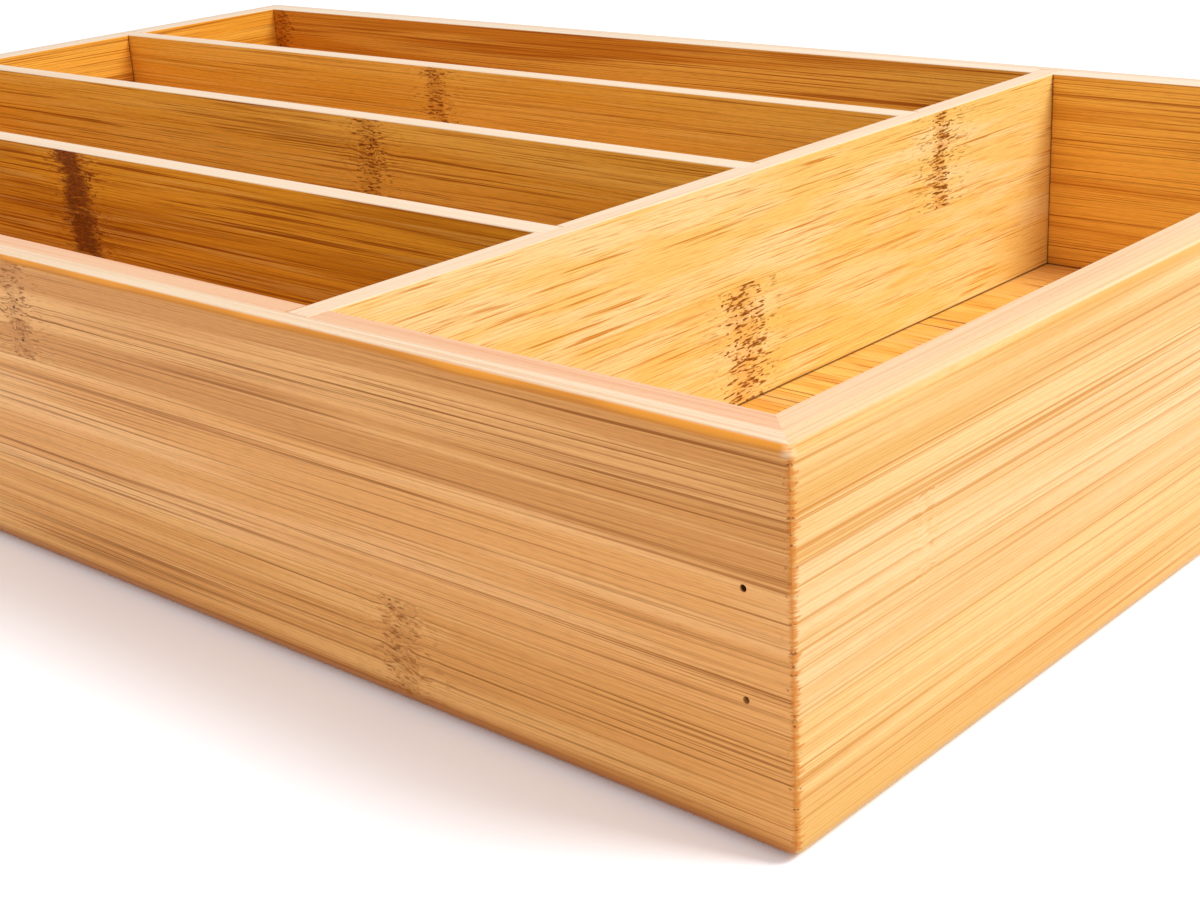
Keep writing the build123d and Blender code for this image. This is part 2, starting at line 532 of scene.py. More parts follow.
@dataclass(frozen=True)
class BambooFinish:
    """Lacquered bamboo on one board.

    The plain factors left in its methods are shares of a mark, and were set one by one.
    """

    name: str
    grain: Grain
    strips: Tuple[Strip, ...]
    streaks: Streaks
    rim: Optional[Rim] = None
    knuckles: Tuple[Knuckle, ...] = ()
    wall: Optional[Side] = None
    span: float = 60.0
    # foot: the colour of the painted shade on the rounded foot, which faces down
    foot: Optional[Colour] = None
    corner: Optional[Colour] = None
    stains: Tuple[Stain, ...] = ()
    drift: float = 0.0
    roughness: float = 0.42
    relief: float = 0.03

    def material(self, half_length: float, half_width: float) -> bpy.types.Material:
        """Builds the finish's nodes.

        Args:
            half_length: Half the tray's length in millimetres.
            half_width: Half the tray's width in millimetres.

        Returns:
            The material.
        """
        made, sketch = new_material(self.name)
        place = sketch.place(1 / MM)
        along, across, through = (place[axis] for axis in self.grain.value)
        face = Face(sketch, place, along, across, through, half_length, half_width)
        light, deep, traits = self._stock(face)
        seed, streak_share = traits["X"] * SEED_SPREAD, traits["Y"]
        tangle = self._knuckles(face)
        lines = self._fibres(face, tangle, seed)
        kind = self.streaks

        blend = lines.broad * 0.6 + lines.under * 0.4
        # The drift moves the tone from light to deep along the board; on the front wall's outer ply it is
        # painted shade
        depth = blend.ramp(*DEEP_LIMITS) - along * (self.drift / DRIFT_LENGTH)
        colour = sketch.mix(depth.within_one(), light, deep)
        # Painted light on one side of each fibre ridge, from the slope of the fine lines; the relief sets its
        # strength
        shine = lines.slope.ramp(0.0, -FULL_SLOPE) * kind.relief * 0.6
        colour = sketch.mix(shine, colour, SHINE, "SOFT_LIGHT")
        if kind.glint:
            glint = lines.under.ramp(*GLINT_LIMITS) * lines.fine.ramp(*GLINT_GAPS) * kind.glint
            colour = sketch.mix(glint, colour, PALE_FIBRE)
        # Painted shade on the other side of each fibre ridge, added to the dark streaks
        shadow = lines.slope.ramp(0.0, FULL_SLOPE) * kind.relief * 0.4
        streak = (lines.thick * kind.thick + lines.thin * kind.thin) * streak_share + shadow
        streak = (streak + self._joints(face, lines.thick)).at_most(DARKEST)
        colour = sketch.mix(streak, colour, kind.colour)
        colour = sketch.mix(lines.grit.ramp(*GRIT_LIMITS) * 0.2, colour, kind.colour)
        colour = self._burn(face, colour, tangle)
        # Painted shade in the joints where other boards meet this one, held to above a given height
        for joint_shade in self.stains:
            gap = (place[joint_shade.axis] - joint_shade.place).size() + lines.grit.swing(joint_shade.reach)
            dark = gap.ramp(joint_shade.reach, joint_shade.reach * JOINT_SHADE_CORE) * joint_shade.strength
            dark = dark * place["Z"].ramp(joint_shade.above - JOINT_SHADE_FADE, joint_shade.above)
            colour = sketch.mix(dark, colour, scorched(kind.colour, JOINT_SHADE_CHAR))
        colour = self._edges(face, colour, lines.fine)

        raised = lines.fine * FINE_RISE + lines.grit * GRIT_RISE
        height = raised - streak * STREAK_SINK - tangle.pores * PORE_SINK
        bump = {"Strength": 1.0, "Distance": self.relief * MM, "Height": height}
        surface = {
            "Base Color": colour,
            "Roughness": lines.fine * 0.12 + (self.roughness - 0.06) + tangle.pores * 0.2,
            "Specular IOR Level": LACQUER_SHEEN,
            "Normal": sketch.signal("ShaderNodeBump", bump),
        }
        sketch.finish("ShaderNodeOutputMaterial", "ShaderNodeBsdfPrincipled", surface)
        return made

    def _stock(self, face: Face) -> Tuple[Signal, Signal, Dict[str, Signal]]:
        """The light and the deep colour of each strip, and its own seed and streak share."""
        zone = face.across / self.span
        if self.grain is Grain.FLAT_ALONG_X:
            zone = zone + 0.5

        def steps(colours: Sequence[Colour]) -> Signal:
            """One colour for each strip."""
            starts = [strip.low / self.span for strip in self.strips]
            return face.sketch.steps(zone, list(zip(starts, colours)))

        light = steps([strip.light for strip in self.strips])
        deep = steps([strip.deep for strip in self.strips])
        traits = steps([(strip.seed / SEED_RANGE, strip.streak, 0.0) for strip in self.strips])
        return light, deep, face.sketch.split(traits)

    def _fibres(self, face: Face, tangle: Tangle, seed: Signal) -> Fibres:
        """The lines that the fibres draw.

        Args:
            face: The face.
            tangle: How the knuckles bend and scatter them.
            seed: What sets each strip's lines apart.

        Returns:
            The lines.
        """
        kind = self.streaks
        wander = WANDER.read(face.sketch, face.along, face.across, seed)
        level = face.across + tangle.bend + wander.swing(kind.wander * 2)

        def drawn(length: float, pitch: float, detail: float = 2.0, shift: float = 0.0) -> Signal:
            """Noise drawn out along the fibres, in steps per millimetre along and across."""
            run = face.along * length + tangle.scatter
            spot = face.sketch.vector(run, (level + shift) * pitch + seed, face.through * (pitch * 0.8))
            return face.sketch.noise(spot, detail, FIBRE_ROUGH)

        under = drawn(kind.along * 1.5, 0.45, 1.0)
        crowd = drawn(kind.along * 1.5, 0.22, 1.0).ramp(*CROWD_LIMITS, -0.03, 0.03)
        fine = drawn(kind.along * 2.5, kind.across * 1.8)
        thick = drawn(kind.along, kind.across)
        return Fibres(
            broad=drawn(kind.along, 0.13, 1.0),
            under=under,
            fine=fine,
            slope=fine - drawn(kind.along * 2.5, kind.across * 1.8, shift=SLOPE_STEP),
            grit=drawn(0.3, 3.5),
            thick=(thick + crowd).ramp(kind.low, kind.low + kind.soft),
            thin=(fine + crowd).ramp(kind.low, kind.low + kind.soft * 1.2),
        )

    def _knuckles(self, face: Face) -> Tangle:
        """Where the growth rings bend, break, shade and pit the fibres.

        Args:
            face: The face.

        Returns:
            The bend in millimetres, the scatter in noise steps, the shade and the pores.
        """
        none = face.along * 0.0
        if not self.knuckles:
            return Tangle(none, none, none, none)
        ragged, sway, swirl = face.noise(RAGGED), face.noise(SWAY), face.noise(SWIRL)
        curl, threads, dashes = face.noise(CURL), face.noise(THREADS), face.noise(DASHES)
        dots, rarity = self._dots(face, ragged)
        mottle = (ragged * 0.5 + threads * 0.5).ramp(*MOTTLE_LIMITS) * 0.75 + 0.25
        bend = scatter = shade = pores = none
        for ring in self.knuckles:
            reach = ring.reach
            leaning = (face.across - (ring.low + ring.high) / 2) * ring.lean
            offset = (face.along - ring.place) - leaning + sway.swing(reach * 0.8)
            edge = offset.size() + (ragged.swing(1.0) + threads.swing(1.0)) * (reach * 1.2)
            inside = face.across.ramp(ring.low - STRIP_FADE, ring.low + STRIP_FADE)
            inside = inside * face.across.ramp(ring.high + STRIP_FADE, ring.high - STRIP_FADE)
            near = edge.ramp(reach * 1.15, reach * 0.35) * inside
            fringe = offset.size().ramp(ring.fringe, reach * 0.5) * inside
            bend = bend + swirl.swing(near * 4.5 + fringe * 0.5) * ring.curl
            scatter = scatter + curl.swing(near * 2.5 + fringe * 0.4) * ring.curl
            fall = offset.ramp(reach * 1.5, -reach * 0.1)
            shade = shade.at_least(near * mottle * fall * ring.shade)
            crowd = edge.ramp(reach * 1.6, reach * 0.2) * inside
            pores = pores.at_least(dots * (crowd * ring.crowd - rarity).ramp(-0.02, 0.08) * ring.pores)
            crowd = crowd.at_least(fringe * 0.3)
            marks = dashes + crowd * (0.05 + ring.crowd * 0.1)
            marks = marks.ramp(*FAINT_DASHES) * 0.38 + marks.ramp(*FULL_DASHES) * 0.27
            pores = pores.at_least(marks * crowd.ramp(0.05, 0.45) * ring.pores)
        return Tangle(bend, scatter, shade.at_most(DARKEST), pores)

    @staticmethod
    def _dots(face: Face, ragged: Signal) -> Tuple[Signal, Signal]:
        """The round pores near a knuckle, and how rare each of them is."""
        sketch = face.sketch
        spot = sketch.vector(face.along * 0.75 + ragged * 0.5, face.across * 1.3, face.through * 0.8)
        feeds = {"Vector": spot, "Scale": 1.0}
        colour, distance = sketch.outputs("ShaderNodeTexVoronoi", ("Color", "Distance"), feeds, feature="F1")
        traits = sketch.split(colour)
        limit = traits["Y"] * 0.3 + 0.16
        dots = distance.ramp(limit, limit - 0.14)
        return dots * traits["Z"].ramp(0.2, 0.9, 0.4, 1.0), traits["X"]

    def _burn(self, face: Face, colour: Signal, tangle: Tangle) -> Signal:
        """Darkens the knuckles and their pores; only a strong knuckle is burnt past the streaks' colour."""
        mix, dark = face.sketch.mix, self.streaks.colour
        strongest = max((ring.shade for ring in self.knuckles), default=0.0)
        burnt = mix(min(1.0, max(0.0, strongest - BURNS_PAST)), dark, scorched(dark, BURNT_CHAR))
        colour = mix(tangle.shade, colour, burnt)
        colour = mix((tangle.pores * 2.2).at_most(0.9), colour, scorched(dark, self.streaks.ember))
        return mix(tangle.pores.ramp(0.4, 0.85) * DARKEST, colour, scorched(dark, PORE_CHAR))

    def _joints(self, face: Face, thick: Signal) -> Signal:
        """The thin dark lines where two strips are glued, fainter here and there.

        Args:
            face: The face.
            thick: The thick dark lines.

        Returns:
            How dark the line is.
        """
        low = self.span / 2 if self.grain is Grain.FLAT_ALONG_X else 0.0
        dark = face.across * 0.0
        for strip in self.strips[1:]:
            gap = (face.across - (strip.low - low)).size()
            dark = dark + gap.ramp(*JOINT_EDGE) * (thick * 0.3 + 0.3)
        return dark

    def _edges(self, face: Face, colour: Signal, fine: Signal) -> Signal:
        """Paints shade on the rounded foot and a highlight on the rounded top corner, and colours the upright
        corner and the sanded rim of a board.

        Args:
            face: The face.
            colour: The colour of the board's face.
            fine: The fine fibre lines.

        Returns:
            The colour with its edges.
        """
        sketch, rim, height = face.sketch, self.rim, face.place["Z"]
        # Painted shade on the rounded foot, which faces down: full below 1.5 mm, gone by 5 mm
        if self.foot is not None:
            colour = sketch.mix(height.ramp(*FOOT_SHADE_RISE) * 0.9, colour, self.foot)
        corner_highlight = height * 0.0
        if self.corner is not None:
            colour, corner_highlight = self._corner(face, colour)
        if rim is None:
            return colour
        run = face.place["Y"] if self.grain is Grain.ALONG_Y else face.place["X"]
        slow = RIM_SWAY.read(sketch, run, run, height)
        if rim.band is not None:
            ragged = height + slow.swing(1.2) + fine.swing(0.4)
            below = ragged.ramp(rim.band_start - BAND_FADE, rim.band_start) * 0.8
            colour = sketch.mix(below, colour, scorched(rim.band, BAND_CHAR))
            band = ragged.ramp(rim.band_start, rim.band_start + BAND_FADE)
            band = band * slow.ramp(*BAND_BREAKS, start=0.3)
            colour = sketch.mix(band, colour, rim.band)
        # The painted highlight on the rounded top corner, in the rim's outer colour
        colour = sketch.mix(corner_highlight, colour, rim.outer)
        depth = self._depth(face)
        lines = RIM_LINES.read(sketch, run, depth, height)
        edge = depth + slow.swing(0.6) + lines.swing(0.5)
        top = sketch.mix(edge.ramp(rim.split - RIM_FADE, rim.split + RIM_FADE), rim.outer, rim.inner)
        ends = RIM_ENDS.read(sketch, run, depth, height)
        for share in (lines.ramp(*RIM_LINE_LIMITS) * 0.5, ends.ramp(*RIM_END_LIMITS) * 0.2):
            top = sketch.mix(share, top, sketch.mix(1.0, top, rim.inner, "MULTIPLY"))
        return sketch.mix((height + fine.swing(0.15)).ramp(rim.start, rim.start + rim.fade), colour, top)

    def _depth(self, face: Face) -> Signal:
        """How deep a place lies behind the wall's outer face, or across a divider."""
        if self.wall is None:
            return face.place["Y" if self.grain is Grain.ALONG_X else "X"]
        return face.behind_end() if self.wall.is_end else face.behind_long_side()

    def _corner(self, face: Face, colour: Signal) -> Tuple[Signal, Signal]:
        """Adds the cut fibre ends where two walls meet and painted shade in the pins' holes, and works out a
        painted highlight on the rounded top corner.

        Args:
            face: The face.
            colour: The colour of the board's face.

        Returns:
            The new colour, and the share of a painted highlight on the rounded top corner.
        """
        sketch, height, x = face.sketch, face.place["Z"], face.place["X"]
        gap = face.behind_long_side() if self.wall.is_end else face.behind_end()
        teeth = CORNER_TEETH.read(sketch, height, gap, x)
        width = teeth.ramp(*TEETH_LIMITS) * (END_TEETH if self.wall.is_end else LONG_TEETH) + LEAST_TEETH
        colour = sketch.mix((gap - width).ramp(0.35, -0.45) * 0.85, colour, self.corner)
        dots = CORNER_DOTS.read(sketch, height, gap, x)
        dark = dots.ramp(*CORNER_DOT_LIMITS) * gap.ramp(*CORNER_DOT_REACH) * 0.8
        colour = sketch.mix(dark, colour, scorched(self.corner, DOT_CHAR))
        # Painted shade deep inside the pin holes of the long walls, darker in the upper hole than in the
        # lower one
        if not self.wall.is_end:
            rise = height.ramp(*HOLE_SHADE_RISE) * height.ramp(*HOLE_SHADE_FALL)
            hole_shade = self._depth(face).ramp(*HOLE_SHADE_DEPTH) * gap.ramp(*HOLE_SHADE_CLEAR) * rise
            hole_shade = hole_shade * height.ramp(*HOLE_SHADE_BETWEEN, *HOLE_SHADE_SHARES)
            colour = sketch.mix(hole_shade, colour, scorched(self.corner, HOLE_SHADE_CHAR))
        # A painted highlight on the rounded top corner, in the sanded rim's pale colour
        corner_highlight = gap.ramp(*HIGHLIGHT_REACH) * height.ramp(*HIGHLIGHT_RISE) * teeth.ramp(*HIGHLIGHT_TEETH)
        return colour, corner_highlight * 0.6


@dataclass(frozen=True)
class SteelFinish:
    """Drawn wire of a headless pin, dulled where it was driven."""

    name: str = "pin_steel"
    # Near black, far darker than bare steel, so that the pin heads also stand for painted shade deep in their
    # holes
    colour: Colour = (0.014, 0.009, 0.006)
    roughness: float = 0.6

    def material(self) -> bpy.types.Material:
        """Builds the finish's nodes and returns the material."""
        made, sketch = new_material(self.name)
        place = sketch.place(1 / MM)
        drawn = DRAWN_WIRE.read(sketch, place["X"], place["Y"], place["Z"])
        dull = tuple(part * 0.5 for part in self.colour)
        surface = {
            "Metallic": 1.0,
            "Base Color": sketch.mix(drawn, self.colour, dull),
            "Roughness": drawn * 0.2 + self.roughness,
        }
        sketch.finish("ShaderNodeOutputMaterial", "ShaderNodeBsdfPrincipled", surface)
        return made


class ShapeTree:
    """A Geometry Nodes tree with named inputs, made once and used for each piece like it."""

    def __init__(self, name: str, inputs: Dict[str, str]) -> None:
        """Starts the tree.

        Args:
            name: The tree's name.
            inputs: The kind of socket of each named input, besides the material.
        """
        self.tree = bpy.data.node_groups.new(name, "GeometryNodeTree")
        self.sketch = NodeSketch(self.tree)
        face = self.tree.interface
        face.new_socket(name="Geometry", in_out="OUTPUT", socket_type="NodeSocketGeometry")
        self.identifiers: Dict[str, str] = {}
        for title, kind in {**inputs, "Material": "Material"}.items():
            socket = face.new_socket(name=title, in_out="INPUT", socket_type=f"NodeSocket{kind}")
            self.identifiers[title] = socket.identifier
        self.entry = self.sketch.node("NodeGroupInput")

    def value(self, title: str) -> Signal:
        """The input with that name."""
        return Signal(self.sketch, self.entry.outputs[title])

    def close(self, geometry: Signal) -> None:
        """Ends the tree in real geometry that carries the piece's material."""
        real = self.sketch.signal("GeometryNodeRealizeInstances", {0: geometry})
        dressed = {"Geometry": real, "Material": self.value("Material")}
        self.sketch.node("NodeGroupOutput", {0: self.sketch.signal("GeometryNodeSetMaterial", dressed)})

    def make(self, name: str, start: Optional[bpy.types.Mesh], values: Dict[str, Any]) -> bpy.types.Mesh:
        """Runs the tree and keeps its result as a plain mesh.

        Args:
            name: The mesh's name.
            start: The mesh that the tree starts from, or None.
            values: The value of each named input.

        Returns:
            The finished mesh.
        """

        def fill(modifier: bpy.types.Modifier) -> None:
            """Hands the modifier its tree and the values of its inputs."""
            modifier.node_group = self.tree
            for title, value in values.items():
                modifier[self.identifiers[title]] = value

        return evaluated(name, start or bpy.data.meshes.new(name + "_start"), "NODES", fill)


def evaluated(
    name: str, mesh: bpy.types.Mesh, kind: str, fill: Callable[[bpy.types.Modifier], None]
) -> bpy.types.Mesh:
    """A mesh with one modifier applied.

    Args:
        name: The new mesh's name.
        mesh: The mesh to start from, which is removed.
        kind: The modifier's type.
        fill: Sets the modifier before it is first evaluated.

    Returns:
        The new mesh.
    """
    carrier = new_object(name + "_carrier", mesh)
    modifier = carrier.modifiers.new("shape", kind)
    fill(modifier)
    graph = bpy.context.evaluated_depsgraph_get()
    made = bpy.data.meshes.new_from_object(carrier.evaluated_get(graph), depsgraph=graph)
    carrier.modifiers.remove(modifier)
    bpy.data.objects.remove(carrier)
    bpy.data.meshes.remove(mesh)
    made.name = name
    return made


def board_tree() -> ShapeTree:
    """The rule that every board follows: a profile run along it, mitred or square, then cut.

    Returns:
        The tree. Its starting mesh is the profile, with each point's depth behind the outer
        face and its height stored as attributes.
    """
    sizes = ("Half Length", "Half Width", "Mitre", "Corner Round", "Corner Spread", "Ply")
    inputs = {"Geometry": "Geometry", **dict.fromkeys(sizes, "Float")}
    inputs.update({"Stations": "Int", "Corner Steps": "Int"})
    inputs.update({"Turn": "Vector", "Shift": "Vector", "Cutters": "Object"})
    shape = ShapeTree("board_from_profile", inputs)
    sketch = shape.sketch
    stations, steps = shape.value("Stations"), shape.value("Corner Steps")
    half_width, mitre, ply = (shape.value(title) for title in ("Half Width", "Mitre", "Ply"))
    index = sketch.signal("GeometryNodeInputIndex")
    last = stations - 1
    left_turn = (1.0 - index / steps).at_least(0.0)
    right_turn = ((index - (last - steps)) / steps).at_least(0.0)
    run = ((index - steps) / (last - steps * 2.0)).within_one() * 2.0 - 1.0
    path = sketch.signal("GeometryNodeMeshLine", {"Count": stations, "Offset": STATION_STEP}, mode="OFFSET")
    for title, value in (("run", run), ("turn", right_turn - left_turn)):
        path = sketch.signal(
            "GeometryNodeStoreNamedAttribute",
            {"Geometry": path, "Name": title, "Value": value},
            data_type="FLOAT",
            domain="POINT",
        )
    curve = sketch.signal("GeometryNodeMeshToCurve", {0: path})
    profile = sketch.signal("GeometryNodeMeshToCurve", {0: shape.value("Geometry")})
    sweep = {"Curve": curve, "Profile Curve": profile, "Fill Caps": True}
    swept = sketch.signal("GeometryNodeCurveToMesh", sweep)
    run, turn, depth, height = (
        sketch.signal("GeometryNodeInputNamedAttribute", {"Name": title}, "Attribute", data_type="FLOAT")
        for title in ("run", "turn", "depth", "height")
    )
    flat = depth.ramp(ply * ROUND_ENDS, ply * ROUND_EASES)
    bow = (shape.value("Corner Round") + depth * shape.value("Corner Spread")) * flat * mitre
    inset = depth + bow
    angle = turn * (math.pi / 4)
    x = run * (shape.value("Half Length") - inset * mitre) + sketch.maths("SINE", angle) * bow
    mitred = inset - half_width - sketch.maths("COSINE", angle) * bow
    y = mitred * mitre + (depth - half_width) * (1.0 - mitre)
    position = sketch.vector(x, y, height)
    moved = sketch.signal("GeometryNodeSetPosition", {"Geometry": swept, "Position": position})
    merged = sketch.signal("GeometryNodeMergeByDistance", {"Geometry": moved, "Distance": MERGE_REACH * 2})
    turned = sketch.signal(
        "GeometryNodeTransform",
        {"Geometry": merged, "Translation": shape.value("Shift"), "Rotation": shape.value("Turn")},
    )
    tools = sketch.signal(
        "GeometryNodeObjectInfo", {"Object": shape.value("Cutters")}, "Geometry", transform_space="ORIGINAL"
    )
    feeds = {"Mesh 1": turned, "Mesh 2": tools}
    shape.close(sketch.signal("GeometryNodeMeshBoolean", feeds, operation="DIFFERENCE", solver="EXACT"))
    return shape


def slot_tree() -> ShapeTree:
    """The rule for a row of slots: equal blocks at an equal pitch.

    Returns:
        The tree, whose result is used only to cut boards.
    """
    shape = ShapeTree("slot_row", {"Count": "Int", "Start": "Vector", "Pitch": "Vector", "Block": "Vector"})
    inputs = (("Count", "Count"), ("Start Location", "Start"), ("Offset", "Pitch"))
    row = {socket: shape.value(title) for socket, title in inputs}
    points = shape.sketch.signal("GeometryNodeMeshLine", row, mode="OFFSET")
    block = shape.sketch.signal("GeometryNodeMeshCube", {"Size": shape.value("Block")}, "Mesh")
    shape.close(shape.sketch.signal("GeometryNodeInstanceOnPoints", {"Points": points, "Instance": block}))
    return shape


def pin_tree() -> ShapeTree:
    """The rule for the pins: one pointed wire, set along the way that each place gives.

    Returns:
        The tree. Its starting mesh has a point for each pin, with its way as an attribute.
    """
    sizes = ("Radius", "Length", "Head Ease", "Point Length", "Sunk")
    shape = ShapeTree("pins_at_places", {"Geometry": "Geometry", **dict.fromkeys(sizes, "Float")})
    sketch = shape.sketch
    length = shape.value("Length")
    facets = {"Vertices": PIN_FACETS, "Side Segments": PIN_RINGS}
    round_wire = {**facets, "Radius": shape.value("Radius"), "Depth": length}
    wire = sketch.signal("GeometryNodeMeshCylinder", round_wire, "Mesh", fill_type="NGON")
    place = sketch.split(sketch.signal("GeometryNodeInputPosition"))
    from_head = place["Z"] + length * 0.5
    taper = (length - from_head) / shape.value("Point Length").at_least(NEVER_ZERO)
    head = (from_head / shape.value("Head Ease").at_least(NEVER_ZERO)).at_most(1.0)
    girth = taper.at_most(1.0).at_least(PIN_TIP_SHARE).at_most(head * (1.0 - PIN_HEAD_SHARE) + PIN_HEAD_SHARE)
    moved = sketch.vector(place["X"] * girth, place["Y"] * girth, from_head + shape.value("Sunk"))
    shaped = sketch.signal("GeometryNodeSetPosition", {"Geometry": wire, "Position": moved})
    way = sketch.signal(
        "GeometryNodeInputNamedAttribute", {"Name": "way"}, "Attribute", data_type="FLOAT_VECTOR"
    )
    aim = sketch.signal("FunctionNodeAlignRotationToVector", {"Vector": way}, axis="Z")
    feeds = {"Points": shape.value("Geometry"), "Instance": shaped, "Rotation": aim}
    shape.close(sketch.signal("GeometryNodeInstanceOnPoints", feeds))
    return shape


def arc(centre: Spot, radius: float, start: float, facets: int) -> List[Spot]:
    """The points of a quarter turn in a profile, from its starting angle in degrees."""
    turns = [math.radians(start + 90 * step / facets) for step in range(facets + 1)]
    return [(centre[0] + radius * math.cos(t), centre[1] + radius * math.sin(t)) for t in turns]


def profile_mesh(name: str, points: Sequence[Spot]) -> bpy.types.Mesh:
    """The starting mesh of a board: its closed profile.

    Args:
        name: The mesh's name.
        points: Depth and height of each point, in millimetres.

    Returns:
        The mesh, with depth and height as attributes in metres.
    """
    mesh = bpy.data.meshes.new(name + "_profile")
    count = len(points)
    edges = [(i, (i + 1) % count) for i in range(count)]
    mesh.from_pydata([(d * MM, h * MM, 0.0) for d, h in points], edges, [])
    for title, column in (("depth", 0), ("height", 1)):
        stored = mesh.attributes.new(title, "FLOAT", "POINT")
        stored.data.foreach_set("value", [p[column] * MM for p in points])
    return mesh


def cleaned(mesh: bpy.types.Mesh) -> bpy.types.Mesh:
    """Turns the faces outwards and shades the rounds smooth and the flats flat.

    Args:
        mesh: A finished shape.

    Returns:
        The same shape with its normals settled.
    """
    shell = bmesh.new()
    shell.from_mesh(mesh)
    bmesh.ops.remove_doubles(shell, verts=shell.verts, dist=MERGE_REACH)
    bmesh.ops.dissolve_degenerate(shell, edges=shell.edges, dist=MERGE_REACH)
    bmesh.ops.recalc_face_normals(shell, faces=shell.faces)
    shell.to_mesh(mesh)
    shell.free()
    mesh.shade_smooth()
    mesh.set_sharp_from_angle(angle=SHARP_ANGLE)
    return evaluated(mesh.name, mesh, "WEIGHTED_NORMAL", lambda flats: setattr(flats, "keep_sharp", True))


def add_piece(mesh: bpy.types.Mesh, node: str) -> bpy.types.Object:
    """Puts a finished board or pin set on the frame in place of its CAD node.

    Args:
        mesh: The finished mesh, in the tray's own frame.
        node: The CAD node that it stands for.

    Returns:
        The new object.
    """
    piece = new_object(mesh.name, mesh)
    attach(piece, BODY)
    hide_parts(node)
    LOG.info("%s: %d faces, stands for %s", piece.name, len(mesh.polygons), node)
    return piece


def in_metres(values: Dict[str, Union[float, Point]]) -> Dict[str, Union[float, Point]]:
    """A tree's input values turned from millimetres into metres."""
    return {
        title: tuple(part * MM for part in value) if isinstance(value, tuple) else value * MM
        for title, value in values.items()
    }


@dataclass(frozen=True)
class TraySizes:
    """The tray's sizes in millimetres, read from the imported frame, and its rounds."""

    half_length: float
    half_width: float
    height: float
    outer_ply: float
    wall: float
    panel: Tuple[Point, Point]
    cross: Tuple[Point, Point]
    rows: Tuple[Tuple[Point, Point], ...]
    floor_edge_gap: float = 0.5
    corner_round: float = 1.0
    rim_round: float = 1.5
    foot_round: float = 3.5
    ease: float = 0.35
    slot_slack: float = 0.1
    groove_slack: float = 0.2

    @property
    def floor_top(self) -> float:
        """How high the floor's top lies."""
        return self.panel[1][2]

    @property
    def groove(self) -> float:
        """How deep the floor's groove runs into the walls."""
        return self.panel[1][1] - (self.half_width - self.wall) + self.floor_edge_gap

    @property
    def slot(self) -> float:
        """How wide the slot for a long divider's end is."""
        low, high = self.rows[0]
        return high[1] - low[1] + 2 * self.slot_slack

    @property
    def row_middle(self) -> float:
        """Where the middle of the front long divider lies across the tray."""
        return (self.rows[0][0][1] + self.rows[0][1][1]) / 2

    @property
    def row_pitch(self) -> float:
        """How far one long divider lies from the next."""
        return self.rows[1][0][1] - self.rows[0][0][1]

    @classmethod
    def read(cls) -> TraySizes:
        """Reads the sizes from the frame's boxes."""

        def box(node: str) -> Tuple[Point, Point]:
            """A node's lowest and highest corners in millimetres."""
            low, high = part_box(node)
            return tuple(v / MM for v in low), tuple(v / MM for v in high)

        outer, inner = box("front_wall_outer_ply"), box("front_wall_inner_ply")
        return cls(
            half_length=box("right_wall_outer_ply")[1][0],
            half_width=-outer[0][1],
            height=outer[1][2],
            outer_ply=outer[1][1] - outer[0][1],
            wall=inner[1][1] - outer[0][1],
            panel=box("floor_panel"),
            cross=box("cross_divider"),
            rows=tuple(box(f"{place}_long_divider") for place in ROWS),
        )


@dataclass
class Workshop:
    """What every sub-assembly shares: the sizes, the trees and the finishes."""

    sizes: TraySizes
    boards: ShapeTree = field(default_factory=board_tree)
    slots: ShapeTree = field(default_factory=slot_tree)
    pins: ShapeTree = field(default_factory=pin_tree)

    def dress(self, finish: BambooFinish) -> bpy.types.Material:
        """Makes a finish's material for a tray of this size."""
        return finish.material(self.sizes.half_length, self.sizes.half_width)

    def slot_row(self, name: str, count: int, pitch: float, start: Point, block: Point) -> bpy.types.Mesh:
        """The shape that cuts that many slots along Y, with its sizes in millimetres."""
        lengths = in_metres({"Start": start, "Pitch": (0.0, pitch, 0.0), "Block": block})
        return self.slots.make(name, None, {"Count": count, **lengths})

    def cutter(self, name: str, meshes: Sequence[bpy.types.Mesh]) -> bpy.types.Object:
        """Joins cutting shapes into one hidden object.

        Args:
            name: The object's name.
            meshes: The shapes to cut with.

        Returns:
            The object, which is removed once the boards are cut.
        """
        shell = bmesh.new()
        for mesh in meshes:
            shell.from_mesh(mesh)
        bmesh.ops.recalc_face_normals(shell, faces=shell.faces)
        joined = bpy.data.meshes.new(name)
        shell.to_mesh(joined)
        shell.free()
        return new_object(name, joined)

    def board(
        self,
        name: str,
        profile: Sequence[Spot],
        half: Spot,
        material: bpy.types.Material,
        mitre: float = 0.0,
        turn: float = 0.0,
        shift: Point = (0.0, 0.0, 0.0),
        cutter: Optional[bpy.types.Object] = None,
    ) -> bpy.types.Mesh:
        """Makes one board.

        Args:
            name: The piece's name.
            profile: Depth and height of the profile's points, in millimetres.
            half: Half the board's length, and how far its outer face lies from the middle.
            material: Its finish.
            mitre: 1 for mitred ends and 0 for square ones.
            turn: How far it is turned about Z, in radians.
            shift: How far it is moved, in millimetres.
            cutter: What is cut from it, in the tray's frame.

        Returns:
            The board's mesh.
        """
        lengths = {"Half Length": half[0], "Half Width": half[1], "Shift": shift}
        lengths.update({"Corner Round": self.sizes.corner_round, "Ply": self.sizes.outer_ply})
        values = {
            "Mitre": mitre,
            "Corner Spread": CORNER_SPREAD,
            "Stations": STATIONS,
            "Corner Steps": CORNER_STEPS,
            "Turn": (0.0, 0.0, turn),
            "Material": material,
            **in_metres(lengths),
        }
        if cutter is not None:
            values["Cutters"] = cutter
        return cleaned(self.boards.make(name, profile_mesh(name, profile), values))


